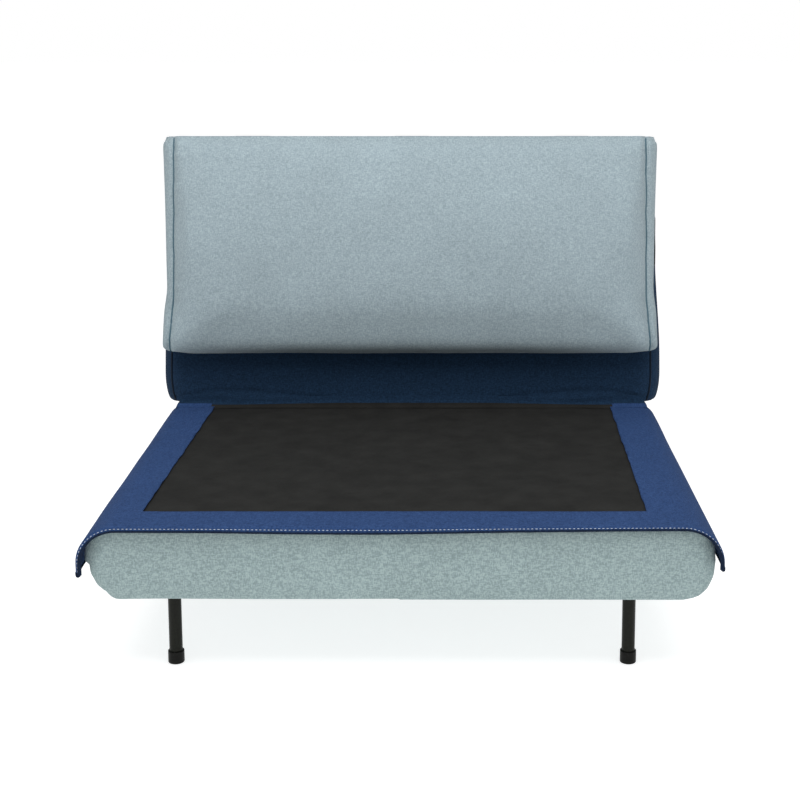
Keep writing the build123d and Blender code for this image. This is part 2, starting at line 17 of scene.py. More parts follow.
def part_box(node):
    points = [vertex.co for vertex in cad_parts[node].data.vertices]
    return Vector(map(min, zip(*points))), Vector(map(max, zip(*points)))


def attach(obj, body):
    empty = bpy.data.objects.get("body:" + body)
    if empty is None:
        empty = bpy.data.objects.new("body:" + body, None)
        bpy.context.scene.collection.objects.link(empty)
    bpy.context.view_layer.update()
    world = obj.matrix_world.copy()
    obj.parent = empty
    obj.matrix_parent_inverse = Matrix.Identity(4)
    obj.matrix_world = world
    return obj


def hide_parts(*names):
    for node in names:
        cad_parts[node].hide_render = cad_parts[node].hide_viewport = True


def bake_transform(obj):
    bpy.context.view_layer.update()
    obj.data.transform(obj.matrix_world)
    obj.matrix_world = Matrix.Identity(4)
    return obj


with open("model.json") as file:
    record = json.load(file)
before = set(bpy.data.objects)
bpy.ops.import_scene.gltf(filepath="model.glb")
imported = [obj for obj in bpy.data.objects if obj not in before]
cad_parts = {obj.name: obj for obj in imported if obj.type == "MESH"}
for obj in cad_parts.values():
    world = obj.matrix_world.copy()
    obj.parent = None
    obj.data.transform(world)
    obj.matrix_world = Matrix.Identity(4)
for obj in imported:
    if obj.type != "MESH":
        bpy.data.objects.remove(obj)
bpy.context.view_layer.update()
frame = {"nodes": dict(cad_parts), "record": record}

MM = 0.001

# %% [markdown]
# ## Where the three sections lie
# The seat lies flat. The back turns about the recline axis and the head cushion about an axis along the top
# of the back. In each section's own layout the hinge axis is at Y = 0, X runs across the sofa, and the deck
# side, where the frame is, looks up. One matrix per section carries that layout to the shared frame.

# %% Section matrices
LEAN = math.radians(9.7)
HINGE_INSET = 14 * MM
axis = {j["name"]: Vector(j["pos_m"]) for j in frame["record"]["behaviour"]["joints"]}
SEAT = Matrix.Translation(axis["back_recline"])
BACK = SEAT @ Matrix.Rotation(math.pi / 2 - LEAN, 4, "X")
HEAD = Matrix.Translation(axis["head_fold"]) @ Matrix.Rotation(math.pi * 1.5 - LEAN, 4, "X")

seat_low, seat_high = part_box("seat_cover")
seat_reach = axis["back_recline"].y - seat_low[1]
seat_half = seat_high[0]
seat_depth = axis["back_recline"].z + HINGE_INSET - seat_low[2]
back_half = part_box("back_cover")[1][0]
back_reach = (axis["head_fold"] - axis["back_recline"]).dot(Vector((0, math.sin(LEAN), math.cos(LEAN))))
back_depth = 128 * MM
head_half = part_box("head_cover")[1][0]
head_length = 446 * MM
head_depth = 96 * MM
END_GAP = 6 * MM
print("seat", seat_half, seat_reach, seat_depth, "back", back_half, back_reach, "head", head_half)


# %% [markdown]
# ## Finishes
# The upholstery is a heathered weave: pale and darker yarns cross, so short slubs run both ways and no two
# threads match. Stretched noise along X and along the other two axes gives the slubs, and a fine wave pair
# gives the threads for the bump. The pattern reads Object coordinates, so it never slides or needs a seam.

# %% A small builder for node trees
def tree_of(name):
    """A new material with its node tree and its shader."""
    made = bpy.data.materials.new(name)
    made.use_nodes = True
    nodes = made.node_tree.nodes
    return made, made.node_tree, nodes["Principled BSDF"]


def feed(tree, socket, value):
    """Link a socket to another node's output, or set it to a value."""
    if isinstance(value, bpy.types.NodeSocket):
        tree.links.new(value, socket)
    else:
        socket.default_value = value


def add(tree, kind, **inputs):
    """Add a node and feed its sockets by name."""
    made = tree.nodes.new(kind)
    for name, value in inputs.items():
        feed(tree, made.inputs[name], value)
    return made


def stretched_noise(tree, scale, detail=3.0, roughness=0.6):
    """Noise on Object coordinates, scaled apart along X, Y and Z."""
    place = add(tree, "ShaderNodeTexCoord").outputs["Object"]
    fitted = add(tree, "ShaderNodeMapping", Vector=place, Scale=scale).outputs["Vector"]
    made = add(tree, "ShaderNodeTexNoise", Vector=fitted, Scale=1.0, Detail=detail, Roughness=roughness)
    return made.outputs["Fac"]


def ramp(tree, factor, stops):
    """A colour ramp with (position, colour) stops."""
    made = add(tree, "ShaderNodeValToRGB", Fac=factor)
    elements = made.color_ramp.elements
    while len(elements) < len(stops):
        elements.new(0.5)
    for element, (position, colour) in zip(elements, stops):
        element.position = position
        element.color = (*colour, 1.0)
    return made.outputs["Color"]


def multiplied(tree, a, b):
    """One colour multiplied by another."""
    made = tree.nodes.new("ShaderNodeMix")
    made.data_type = "RGBA"
    made.blend_type = "MULTIPLY"
    made.inputs[0].default_value = 1.0
    tree.links.new(a, made.inputs[6])
    tree.links.new(b, made.inputs[7])
    return made.outputs[2]


def maths(tree, operation, a, b=0.0):
    made = tree.nodes.new("ShaderNodeMath")
    made.operation = operation
    feed(tree, made.inputs[0], a)
    feed(tree, made.inputs[1], b)
    return made.outputs[0]


def bumped(tree, shader, height, strength, distance):
    made = add(tree, "ShaderNodeBump", Height=height, Strength=strength, Distance=distance)
    tree.links.new(made.outputs["Normal"], shader.inputs["Normal"])


# %% Woven upholstery
THREADS_PER_METRE = 1300.0


def threads(tree):
    """Two crossed sets of fine threads, one across X and one across the other axes."""
    place = add(tree, "ShaderNodeTexCoord").outputs["Object"]
    parts = add(tree, "ShaderNodeSeparateXYZ", Vector=place)
    along = maths(tree, "ADD", parts.outputs["Y"], parts.outputs["Z"])
    turn = THREADS_PER_METRE * math.pi
    warp = maths(tree, "SINE", maths(tree, "MULTIPLY", parts.outputs["X"], turn))
    weft = maths(tree, "SINE", maths(tree, "MULTIPLY", along, turn))
    return maths(tree, "ADD", maths(tree, "ABSOLUTE", warp), maths(tree, "ABSOLUTE", weft))


def heathered_weave(name, dark, middle, pale, contrast, sheen):
    """A plain weave of mixed yarns with short slubs both ways."""
    made, tree, shader = tree_of(name)
    across = stretched_noise(tree, (170, 560, 560))
    down = stretched_noise(tree, (560, 190, 190))
    slubs = maths(tree, "MULTIPLY", maths(tree, "ADD", across, down), 0.5)
    low, high = 0.5 - contrast, 0.5 + contrast
    yarn = ramp(tree, slubs, ((low, dark), (0.5, middle), (high, pale)))
    cloud = stretched_noise(tree, (9, 9, 9), 2.0)
    shade = ramp(tree, cloud, ((0.3, (0.93, 0.93, 0.93)), (0.7, (1.0, 1.0, 1.0))))
    tree.links.new(multiplied(tree, yarn, shade), shader.inputs["Base Color"])
    rough = maths(tree, "ADD", maths(tree, "MULTIPLY", slubs, 0.12), 0.84)
    tree.links.new(rough, shader.inputs["Roughness"])
    shader.inputs["Specular IOR Level"].default_value = 0.12
    shader.inputs["Sheen Weight"].default_value = sheen
    shader.inputs["Sheen Roughness"].default_value = 0.45
    fine = maths(tree, "MULTIPLY", threads(tree), 0.35)
    height = maths(tree, "ADD", maths(tree, "MULTIPLY", slubs, 2.5), fine)
    bumped(tree, shader, height, 0.55, 0.0009)
    return made


light_weave = heathered_weave(
    "light_weave", (0.215, 0.285, 0.290), (0.275, 0.355, 0.360), (0.345, 0.435, 0.435), 0.075, 0.08)
head_weave = heathered_weave(
    "head_weave", (0.215, 0.275, 0.300), (0.265, 0.330, 0.360), (0.325, 0.395, 0.425), 0.10, 0.08)
navy_weave = heathered_weave(
    "navy_weave", (0.014, 0.035, 0.100), (0.021, 0.050, 0.140), (0.032, 0.070, 0.180), 0.11, 0.0)
# A darker copy of the navy deck cloth: painted shade for the back's navy face, which lies in the head
# cushion's shadow.
back_navy_painted_shade = heathered_weave(
    "back_navy_painted_shade", (0.0050, 0.0165, 0.037), (0.0080, 0.0240, 0.053), (0.012, 0.034, 0.074), 0.11, 0.0)
hem_weave = heathered_weave(
    "hem_weave", (0.004, 0.009, 0.022), (0.006, 0.013, 0.032), (0.010, 0.020, 0.047), 0.13, 0.0)
print("weaves", [m.name for m in (light_weave, head_weave, navy_weave, back_navy_painted_shade, hem_weave)])


# %% [markdown]
# The lining is a thin black non-woven cloth: fibres lie in every direction and are pressed flat, so it has a
# faint cloudy mottle and no threads. Sewing thread is a fine twist: off-white at the hem, and dark in the
# seams. The head cushion's seam thread is a dark blue, partly the seam line and partly painted shade of the
# seam's valley. All of them are matt.

# %% Lining, thread and seam
def pressed_felt(name):
    made, tree, shader = tree_of(name)
    fibres = stretched_noise(tree, (700, 700, 700), 4.0, 0.7)
    cloud = stretched_noise(tree, (22, 22, 22), 3.0)
    both = maths(tree, "MULTIPLY", maths(tree, "ADD", fibres, cloud), 0.5)
    colour = ramp(tree, both, ((0.36, (0.012, 0.012, 0.0115)), (0.64, (0.020, 0.020, 0.019))))
    tree.links.new(colour, shader.inputs["Base Color"])
    shader.inputs["Roughness"].default_value = 0.92
    shader.inputs["Specular IOR Level"].default_value = 0.08
    bumped(tree, shader, both, 0.5, 0.0006)
    return made


def twisted_thread(name, dark, pale):
    made, tree, shader = tree_of(name)
    twist = stretched_noise(tree, (900, 900, 900), 1.0)
    tree.links.new(ramp(tree, twist, ((0.4, dark), (0.6, pale))), shader.inputs["Base Color"])
    shader.inputs["Roughness"].default_value = 0.7
    shader.inputs["Specular IOR Level"].default_value = 0.12
    return made


felt = pressed_felt("felt")
white_thread = twisted_thread("white_thread", (0.32, 0.38, 0.47), (0.56, 0.61, 0.70))
blue_thread_and_painted_shade = twisted_thread("blue_thread_and_painted_shade", (0.045, 0.095, 0.125), (0.07, 0.13, 0.16))
navy_thread = twisted_thread("navy_thread", (0.001, 0.004, 0.010), (0.002, 0.007, 0.016))


# %% [markdown]
# The hard parts need four more finishes. Powder coat is a satin black with a faint orange peel. Zinc plate
# is brushed grey. Birch ply shows long grain along the slats. Moulded plastic has a fine even texture. Wear
# shows as a paler, rougher mottle, so each finish drives its roughness with noise.

# %% Hard finishes
def coated(name, dark, pale, rough, metal=0.0, grain=(260, 260, 260), depth=0.0002, gloss=0.5):
    """A coated or moulded surface: a two-tone mottle that also drives the roughness and the bump."""
    made, tree, shader = tree_of(name)
    mottle = stretched_noise(tree, grain, 3.0)
    tree.links.new(ramp(tree, mottle, ((0.35, dark), (0.65, pale))), shader.inputs["Base Color"])
    wear = maths(tree, "ADD", maths(tree, "MULTIPLY", mottle, 0.16), rough - 0.08)
    tree.links.new(wear, shader.inputs["Roughness"])
    shader.inputs["Metallic"].default_value = metal
    shader.inputs["Specular IOR Level"].default_value = gloss
    bumped(tree, shader, mottle, 0.3, depth)
    return made


finish_of = {
    "leg_paint": coated("powder_coat", (0.003, 0.0035, 0.002), (0.007, 0.008, 0.0045), 0.32, gloss=0.14),
    "frame_paint": coated("frame_coat", (0.035, 0.035, 0.036), (0.055, 0.055, 0.056), 0.45),
    "cap_plastic": coated("foot_plastic", (0.0035, 0.0035, 0.003), (0.006, 0.006, 0.005), 0.4, gloss=0.12),
    "holder_plastic": coated("holder_plastic", (0.02, 0.02, 0.02), (0.032, 0.032, 0.032), 0.55),
    "glide_rubber": coated("glide_rubber", (0.015, 0.015, 0.015), (0.03, 0.03, 0.03), 0.8),
    "zinc_steel": coated("zinc_plate", (0.40, 0.41, 0.43), (0.58, 0.59, 0.60), 0.34, 1.0, (900, 60, 60)),
    "plywood": coated("birch_ply", (0.44, 0.30, 0.16), (0.66, 0.50, 0.31), 0.6, 0.0, (14, 220, 420), 0.0004),
    "webbing": coated("webbing", (0.006, 0.006, 0.007), (0.016, 0.016, 0.018), 0.8, 0.0, (900, 900, 300)),
    "foam": coated("open_foam", (0.62, 0.58, 0.44), (0.80, 0.76, 0.60), 0.9, 0.0, (500, 500, 500), 0.001),
    "light_fabric": light_weave,
    "dark_fabric": navy_weave,
    "lining": felt,
}
slot_of = {part["node"]: part["material_slot"] for part in frame["record"]["subparts"]}
for node, held in frame["nodes"].items():
    held.data.materials.clear()
    held.data.materials.append(finish_of[slot_of[node]])
print("CAD nodes finished:", len(slot_of))


# %% [markdown]
# ## Stuffing a cushion
# A cushion is a fabric box around foam. It starts as a slightly small rounded block, is remeshed into even
# squares, and is blown up as cloth with a light pressure. The deck side is nailed to the frame, so it is
# pinned. How far a point may move is capped, which leaves the crown that foam really gives.

# %% Helpers for meshes
def object_from(bm, name, finish):
    """Make an object at the origin from a bmesh."""
    data = bpy.data.meshes.new(name)
    bm.to_mesh(data)
    bm.free()
    made = bpy.data.objects.new(name, data)
    bpy.context.scene.collection.objects.link(made)
    data.materials.append(finish)
    for face in data.polygons:
        face.use_smooth = True
    return made


def bevel_edges(bm, chosen, size, steps):
    bmesh.ops.bevel(bm, geom=chosen, offset=size, offset_type="OFFSET", segments=steps, profile=0.5,
                    affect="EDGES", material=-1, clamp_overlap=True)


def rounded_block(half, y, z, side, ends):
    """A block whose long edges are rounded by side, and whose (low, high) ends are softened by ends."""
    bm = bmesh.new()
    size = Matrix.Diagonal((2 * half, y[1] - y[0], z[1] - z[0], 1))
    place = Matrix.Translation((0, (y[0] + y[1]) / 2, (z[0] + z[1]) / 2))
    bmesh.ops.create_cube(bm, size=1.0, matrix=place @ size)
    bevel_edges(bm, [e for e in bm.edges if abs(e.verts[0].co.y - e.verts[1].co.y) > 0.1], side, 8)
    for at, size in zip(y, ends):
        rim = [e for e in bm.edges if all(abs(v.co.y - at) < 1e-5 for v in e.verts)]
        bevel_edges(bm, rim, size, 3)
    return bm


def modified(obj):
    """Apply an object's modifiers and drop them."""
    result = bpy.data.meshes.new_from_object(obj.evaluated_get(bpy.context.evaluated_depsgraph_get()))
    obj.modifiers.clear()
    obj.data = result
    return obj


def blown_up(obj, pinned, cap, pressure, voxel, calm_steps=8):
    """Remesh to even squares, blow up as cloth with the pinned points held, and smooth once."""
    remesh = obj.modifiers.new("even", "REMESH")
    remesh.mode = "VOXEL"
    remesh.voxel_size = voxel
    modified(obj)
    start = [v.co.copy() for v in obj.data.vertices]
    group = obj.vertex_groups.new(name="held")
    for vertex in obj.data.vertices:
        group.add([vertex.index], pinned(vertex.co), "REPLACE")
    cloth = obj.modifiers.new("stuffing", "CLOTH")
    cloth.settings.vertex_group_mass = "held"
    cloth.settings.use_pressure = True
    cloth.settings.uniform_pressure_force = pressure
    cloth.settings.effector_weights.gravity = 0
    cloth.settings.quality = 4
    cloth.settings.tension_stiffness = 20
    cloth.settings.bending_stiffness = 2
    for step in range(1, 21):
        bpy.context.scene.frame_set(step)
    modified(obj)
    bpy.context.scene.frame_set(1)
    obj.vertex_groups.clear()
    for vertex, origin in zip(obj.data.vertices, start):
        move = vertex.co - origin
        if move.length > 1e-6:
            vertex.co = origin + move * (cap * math.tanh(move.length / cap) / move.length)
    calm = obj.modifiers.new("calm", "SMOOTH")
    calm.factor = 0.5
    calm.iterations = calm_steps
    smooth = obj.modifiers.new("finer", "SUBSURF")
    smooth.levels = smooth.render_levels = 1
    modified(obj)
    for face in obj.data.polygons:
        face.use_smooth = True
    return obj


def shaped(obj, change):
    """Move every point of a mesh by a rule."""
    for vertex in obj.data.vertices:
        vertex.co = change(vertex.co.copy())
    obj.data.update()
    return obj


def unit(value):
    """A value kept between 0 and 1."""
    return min(max(value, 0.0), 1.0)


def ease(value, low, high):
    """0 below low, 1 above high, and smooth between."""
    t = unit((value - low) / (high - low))
    return t * t * (3 - 2 * t)


def flat_grid(half, y, cuts, x=0.0, z=0.0):
    """A flat grid that reaches half to each side of x, and over y = (near, far)."""
    bm = bmesh.new()
    size = Matrix.Diagonal((half, (y[1] - y[0]) / 2, 1, 1))
    place = Matrix.Translation((x, (y[0] + y[1]) / 2, z)) @ size
    bmesh.ops.create_grid(bm, x_segments=cuts[0], y_segments=cuts[1], size=1.0, matrix=place)
    return bm


def thickened(obj, thickness, offset):
    """Give a sheet its thickness: inwards at offset -1, both ways at 0 and outwards at 1."""
    cloth = obj.modifiers.new("cloth", "SOLIDIFY")
    cloth.thickness = thickness
    cloth.offset = offset
    return modified(obj)


# %% [markdown]
# ## The head cushion
# This is the softest of the three. Its front panel is sewn to a boxing strip down each side, so the seam sits
# a little inside the outline, and the thread pulls small puckers into the panel beside it. The sides draw in
# between the corners, and the panel is fullest halfway down. The cushion lies slightly to the left.

# %% Blow up the head cushion
HEAD_VOXEL = 8 * MM
head_near, head_far = END_GAP, END_GAP + head_length
SEAM_IN = 28 * MM
SIDE_DRAW = 5.5 * MM
HEAD_SHIFT = 2.5 * MM


def head_block():
    bm = rounded_block(head_half - 8 * MM, (head_near, head_far - 1 * MM),
                       (-head_depth + 13 * MM, -4 * MM), 30 * MM, (4 * MM, 26 * MM))
    return object_from(bm, "head_cushion", head_weave)


head_cushion = blown_up(head_block(), lambda p: 1.0 if p.z > -14 * MM or p.y < head_near + 6 * MM else 0.0,
                        12 * MM, 4.0, HEAD_VOXEL, 24)
print("head cushion", len(head_cushion.data.polygons), "faces")


# %% Settle it inside its own room, with drawn-in sides and puckers
def seam_place(y, middle):
    """How far out the side seam lies; it draws in with the sides and runs out to the lower corners."""
    outward = 9 * MM * ease(y, head_far - 150 * MM, head_far - 10 * MM)
    ripple = noise.noise((y * 36, 2.0, 0.4)) * 1.3 * MM
    return head_half - SEAM_IN + 1 * MM * middle + outward + ripple


def head_rule(p):
    """Flat deck side, straight top end, drawn-in sides, a seam groove with puckers and a full lower edge."""
    middle = math.sin(math.pi * unit((p.y - head_near) / head_length))
    room = head_half - 0.5 * MM - SIDE_DRAW * middle
    low_corner = max(0.0, p.y - (head_far - 22 * MM)) / (30 * MM)
    room -= 8 * MM * min(low_corner, 1.0) ** 2.5
    end = ease(p.y, head_far - 150 * MM, head_far - 50 * MM)
    flank = ease(-p.z, head_depth * 0.45, head_depth * 0.75) * (1 - 0.75 * end)
    reach = ease(abs(p.x), room - (24 + 20 * end) * MM, room - (6 + 12 * end) * MM) * (1 - flank)
    p.x = math.copysign(abs(p.x) + (room - abs(p.x)) * reach, p.x)
    p.x = max(-room, min(room, p.x))
    side = abs(p.x) / head_half
    seam_x = seam_place(p.y, middle)
    near_seam = math.exp(-((abs(p.x) - seam_x) / (6 * MM)) ** 2)
    front = ease(-p.z, head_depth * 0.5, head_depth * 0.78)
    pucker = noise.noise((p.y * 60, math.copysign(3.0, p.x), 0)) * 3.6 * MM
    beside = math.exp(-((abs(p.x) - seam_x + 7 * MM) / (11 * MM)) ** 2)
    inside = 1 - ease(abs(p.x), seam_x - 40 * MM, seam_x)
    full = math.sin(math.pi * unit((p.y - head_near) / (head_length * 1.1))) ** 0.8
    wave = noise.noise((p.x * 4, p.y * 6, 1.3)) * 1.6 * MM * (1 - side ** 4)
    p.z += front * (near_seam * 9 * MM + beside * pucker - inside * (full * 24 - 9) * MM + wave)
    p.z = min(p.z, -3.2 * MM)
    if p.y < head_near + 5 * MM:
        p.y = head_near - 3.2 * MM * ease(-p.z, 20 * MM, 60 * MM)
    fall = noise.noise((p.x * 6, 0.0, 5.2)) * 1.6 * MM
    corner = unit((p.z + 34 * MM) / (30 * MM))
    square = 24 * MM * (1 - math.sqrt(1 - corner * corner))
    p.y += ease(p.y, head_far - 60 * MM, head_far - 8 * MM) * (1 * MM + fall + square)
    p.x -= HEAD_SHIFT
    return p


shaped(head_cushion, head_rule)
head_tree = BVHTree.FromObject(head_cushion, bpy.context.evaluated_depsgraph_get())


# %% [markdown]
# ## Seams and stitches
# A seam is a thin line of dark thread that lies in the valley between two panels; on the head cushion its
# dark colour is partly the seam line and partly painted shade of that valley. Its path is dropped onto the
# finished cushion, so it follows every pucker, and it becomes a fine tube. Top stitching is separate: each
# stitch is a short fat bar, and a loop lays them along a path at a steady pitch.

# %% Thread that follows a surface
def dropped(tree, points, direction):
    """Points moved along a direction onto a surface, leaving out those that miss it."""
    found = []
    for point in points:
        hit = tree.ray_cast(Vector(point), Vector(direction))[0]
        if hit is not None:
            found.append(hit)
    return found


def tubes(name, paths, radius_at, roundness, finish):
    """Tubes along paths, as one mesh; radius_at gives the radius at the i-th point of a path."""
    curve = bpy.data.curves.new(name, "CURVE")
    curve.dimensions = "3D"
    curve.bevel_depth = 1.0
    curve.bevel_resolution = roundness
    curve.use_fill_caps = True
    for path in paths:
        spline = curve.splines.new("POLY")
        spline.points.add(len(path) - 1)
        for i, point in enumerate(path):
            spline.points[i].co = (*point, 1)
            spline.points[i].radius = radius_at(i)
    holder = bpy.data.objects.new(name + "_path", curve)
    bpy.context.scene.collection.objects.link(holder)
    data = bpy.data.meshes.new_from_object(holder.evaluated_get(bpy.context.evaluated_depsgraph_get()))
    bpy.data.objects.remove(holder)
    made = bpy.data.objects.new(name, data)
    bpy.context.scene.collection.objects.link(made)
    data.materials.clear()
    data.materials.append(finish)
    for face in data.polygons:
        face.use_smooth = True
    return made


def stitch_row(name, path, length, gap, radius, finish):
    """Short bars of thread laid end to end along a path."""
    bm = bmesh.new()
    due = 0.0
    for a, b in zip(path, path[1:]):
        span = (b - a).length
        while due < span:
            middle = a.lerp(b, due / span)
            turn = (b - a).to_track_quat("Z", "Y").to_matrix().to_4x4()
            bmesh.ops.create_uvsphere(bm, u_segments=6, v_segments=4, radius=radius,
                                      matrix=Matrix.Translation(middle) @ turn
                                      @ Matrix.Diagonal((1, 1, length / (2 * radius), 1)))
            due += length + gap
        due -= span
    return object_from(bm, name, finish)


# %% Side seams of the head cushion
def head_seam(sign):
    count = 150
    first, last = head_near + 1 * MM, head_far - 8 * MM
    points = []
    for i in range(count + 1):
        y = first + (last - first) * i / count
        x = sign * seam_place(y, math.sin(math.pi * i / count)) - HEAD_SHIFT
        points.append((x, y, -0.3))
    return dropped(head_tree, points, (0, 0, 1))


# The seam tube's dark blue is partly the seam line and partly painted shade of the seam's valley.
head_seams = tubes("head_side_seams", [head_seam(-1), head_seam(1)], lambda i: 1.7 * MM, 2, blue_thread_and_painted_shade)
print("head seams", len(head_seams.data.vertices), "points")


# %% [markdown]
# ## The deck side of the head cushion
# The side that lies against the back is navy. It is a flat sheet with a turned edge, tacked around the board.
# A short loop of black webbing is sewn to the right side, to pull the cushion over by.

# %% Navy sheet and pull strap on the head cushion
PANEL_HALF = head_half - 30 * MM
PANEL_Y = (head_near + 2 * MM, head_far - 20 * MM)
STRAP = (110 * MM, 25 * MM)
STRAP_START = 160 * MM


def deck_panel():
    bm = flat_grid(PANEL_HALF, PANEL_Y, (60, 30), z=-1.4 * MM)
    for vertex in bm.verts:
        vertex.co.z += noise.noise((vertex.co.x * 9, vertex.co.y * 9, 2.0)) * 0.5 * MM
    bmesh.ops.solidify(bm, geom=bm.faces[:], thickness=1.6 * MM)
    bmesh.ops.recalc_face_normals(bm, faces=bm.faces[:])
    return object_from(bm, "head_deck_panel", navy_weave)


def side_strap():
    """A webbing tab that hugs the cushion's right side, with both ends tucked into the seam."""
    length, width = STRAP
    bm = bmesh.new()
    size = Matrix.Diagonal((1, length / 2, width / 2, 1))
    place = Matrix.Translation((0, STRAP_START + length / 2, -17 * MM)) @ size
    place = place @ Matrix.Rotation(math.pi / 2, 4, "Y")
    bmesh.ops.create_grid(bm, x_segments=8, y_segments=44, size=1.0, matrix=place)
    for vertex in bm.verts:
        along = (vertex.co.y - STRAP_START) / length
        drawn_in = SIDE_DRAW * math.sin(math.pi * (vertex.co.y - head_near) / head_length)
        slack = 0.8 * MM * math.sin(math.pi * along) * (0.6 + 0.4 * math.cos(along * 9))
        tuck = 2.0 * MM * (1 - ease(min(along, 1 - along), 0.0, 0.08))
        vertex.co.x = head_half - HEAD_SHIFT - drawn_in + slack - tuck
    bmesh.ops.recalc_face_normals(bm, faces=bm.faces[:])
    return thickened(object_from(bm, "head_side_strap", finish_of["webbing"]), 1.4 * MM, 1)


strap = side_strap()
strap.data.transform(HEAD)
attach(strap, "head")
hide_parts("head_pull_strap")

head_panel = deck_panel()
for piece in (head_cushion, head_seams, head_panel):
    piece.data.transform(HEAD)
    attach(piece, "head")
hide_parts("head_foam", "head_cover")
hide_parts("head_deck_cover")

# %% [markdown]
# ## The back cushion
# The back is firmer. Its rear half wears the same pale cloth as the head cushion; its deck half wears navy,
# in a front panel and a boxing strip that meet in a dark seam. That navy is drawn darker than the deck's: it
# is painted shade, for the shadow of the head cushion above it. The back's two lower corners are cut round,
# which leaves a small opening beside the fabric hinge, and a long fold lies above that hinge. The navy skin
# is taken from the cushion's own faces and lifted off them by the thickness of the cloth, so it follows the
# stuffing exactly.

# %% Blow up the back cushion
BACK_VOXEL = 11 * MM
back_near, back_far = HINGE_INSET, back_reach - END_GAP
back_low, back_top = HINGE_INSET - back_depth, HINGE_INSET - 0.5 * MM
NAVY = 2.4 * MM


def back_block():
    bm = rounded_block(back_half - 2 * MM, (back_near + 1 * MM, back_far - 1 * MM),
                       (back_low + 5 * MM, back_top - NAVY + 1 * MM), 50 * MM, (6 * MM, 6 * MM))
    return object_from(bm, "back_cushion", light_weave)


back_cushion = blown_up(back_block(), lambda p: 1.0 if p.z > back_top - 20 * MM or p.y < 24 * MM else 0.0,
                        12 * MM, 3.0, BACK_VOXEL)
CORNER = 66 * MM
BACK_SEAM_IN = 22 * MM
BACK_SHIFT = 2 * MM
print("back cushion", len(back_cushion.data.polygons), "faces")


def round_side(p, half, low, high, radius):
    """Bring a point near the rounded outline of a section onto that outline; the top keeps its height."""
    centre_x = half - radius
    centre_z = max(low + radius, min(high - radius, p.z))
    away = Vector((max(abs(p.x) - centre_x, 0.0), p.z - centre_z))
    share = ease(away.length / radius, 0.66, 0.84)
    if abs(p.x) > centre_x:
        away *= 1 + (radius / max(away.length, 1e-6) - 1) * share
        p.x = math.copysign(centre_x + away.x, p.x)
        p.z = centre_z + away.y
    elif p.z < low + radius * 0.34:
        p.z += (low - p.z) * share
    return p


def back_edge(y):
    """How far out the back's sides lie: they draw in from the seat up to the head cushion."""
    return back_half + 2.6 * MM - 9.5 * MM * ease(y, 110 * MM, 330 * MM)


def corner_inset(y):
    """How far the outline turns in at the rounded lower corners."""
    over = max(0.0, back_near + CORNER - y) / CORNER
    return 20 * MM * (1 - math.sqrt(max(0.0, 1 - over * over)))


def long_fold(x):
    """How far up the back the fold beside the fabric hinge lies, at each place across."""
    across = abs(x)
    return (17 + 23 * ease(across, 0.05, 0.38) * (1 - 0.55 * ease(across, 0.41, 0.49))) * MM


def back_rule(p):
    """Round the lower corners in the plane of the back, and keep the cushion inside its room."""
    top = back_top - NAVY
    if p.z > top - 7 * MM and abs(p.x) < back_half - 46 * MM:
        p.z = top
    half = back_edge(p.y)
    p = round_side(p, half, back_low + 0.5 * MM, top, 52 * MM)
    inset = corner_inset(p.y)
    p.x -= math.copysign(ease(abs(p.x), back_half - 130 * MM, back_half - 10 * MM) * inset, p.x)
    front = ease(p.z, top - 16 * MM, top - 4 * MM)
    open_face = 1 - ease(p.y, 96 * MM, 122 * MM)
    fold = long_fold(p.x)
    valley = math.exp(-((p.y - fold) / (4.5 * MM)) ** 2) * 4.5 * MM * ease(abs(p.x), 0.02, 0.16)
    upper = math.exp(-((p.y - fold * 1.3 - 12 * MM) / (5 * MM)) ** 2) * 2.4 * MM
    upper *= ease(abs(p.x), 0.2, 0.4)
    bulge = math.exp(-((p.y - fold + 11 * MM) / (9 * MM)) ** 2) * 5.0 * MM
    soft = noise.noise((p.x * 5, p.y * 14, 7.7)) * 1.9 * MM
    seam = math.exp(-((abs(p.x) - half + BACK_SEAM_IN + inset * 0.8) / (3.5 * MM)) ** 2) * 2.6 * MM
    p.z += front * (open_face * (bulge - valley - upper + soft + 0.6 * MM) - seam)
    p.y = min(max(p.y, back_near), back_far)
    p.x -= BACK_SHIFT * front
    return p


shaped(back_cushion, back_rule)


# %% Navy skin lifted off the cushion
def lifted_skin(name, source, keep, lift, thickness, finish):
    """A sheet copied from the faces that keep() chooses, lifted along their normals."""
    bm = bmesh.new()
    bm.from_mesh(source.data)
    dropped_faces = [f for f in bm.faces if not keep(f.calc_center_median(), f.normal)]
    bmesh.ops.delete(bm, geom=dropped_faces, context="FACES")
    bm.normal_update()
    shift = [(v, v.normal * lift) for v in bm.verts]
    for vertex, move in shift:
        vertex.co += move
    made = thickened(object_from(bm, name, finish), thickness, -1)
    for face in made.data.polygons:
        face.use_smooth = True
    return made


# The back's navy skin wears the darker navy, painted shade under the head cushion.
back_skin = lifted_skin(
    "back_deck_cover_sheet", back_cushion,
    lambda c, n: c.z > back_low + back_depth * 0.47 and (abs(n.y) < 0.7 or c.z > back_top - 30 * MM),
    0.9 * MM, 0.8 * MM, back_navy_painted_shade)
print("navy skin", len(back_skin.data.polygons), "faces")
back_tree = BVHTree.FromObject(back_skin, bpy.context.evaluated_depsgraph_get())


def back_seam(sign):
    """The seam between the navy front panel and its side strip, which turns in at the round corner."""
    points = []
    for i in range(81):
        y = back_near + 6 * MM + (back_far - back_near - 16 * MM) * i / 80
        x = back_edge(y) - BACK_SEAM_IN - 0.8 * corner_inset(y)
        points.append((sign * x - BACK_SHIFT, y, 0.3))
    return dropped(back_tree, points, (0, 0, -1))


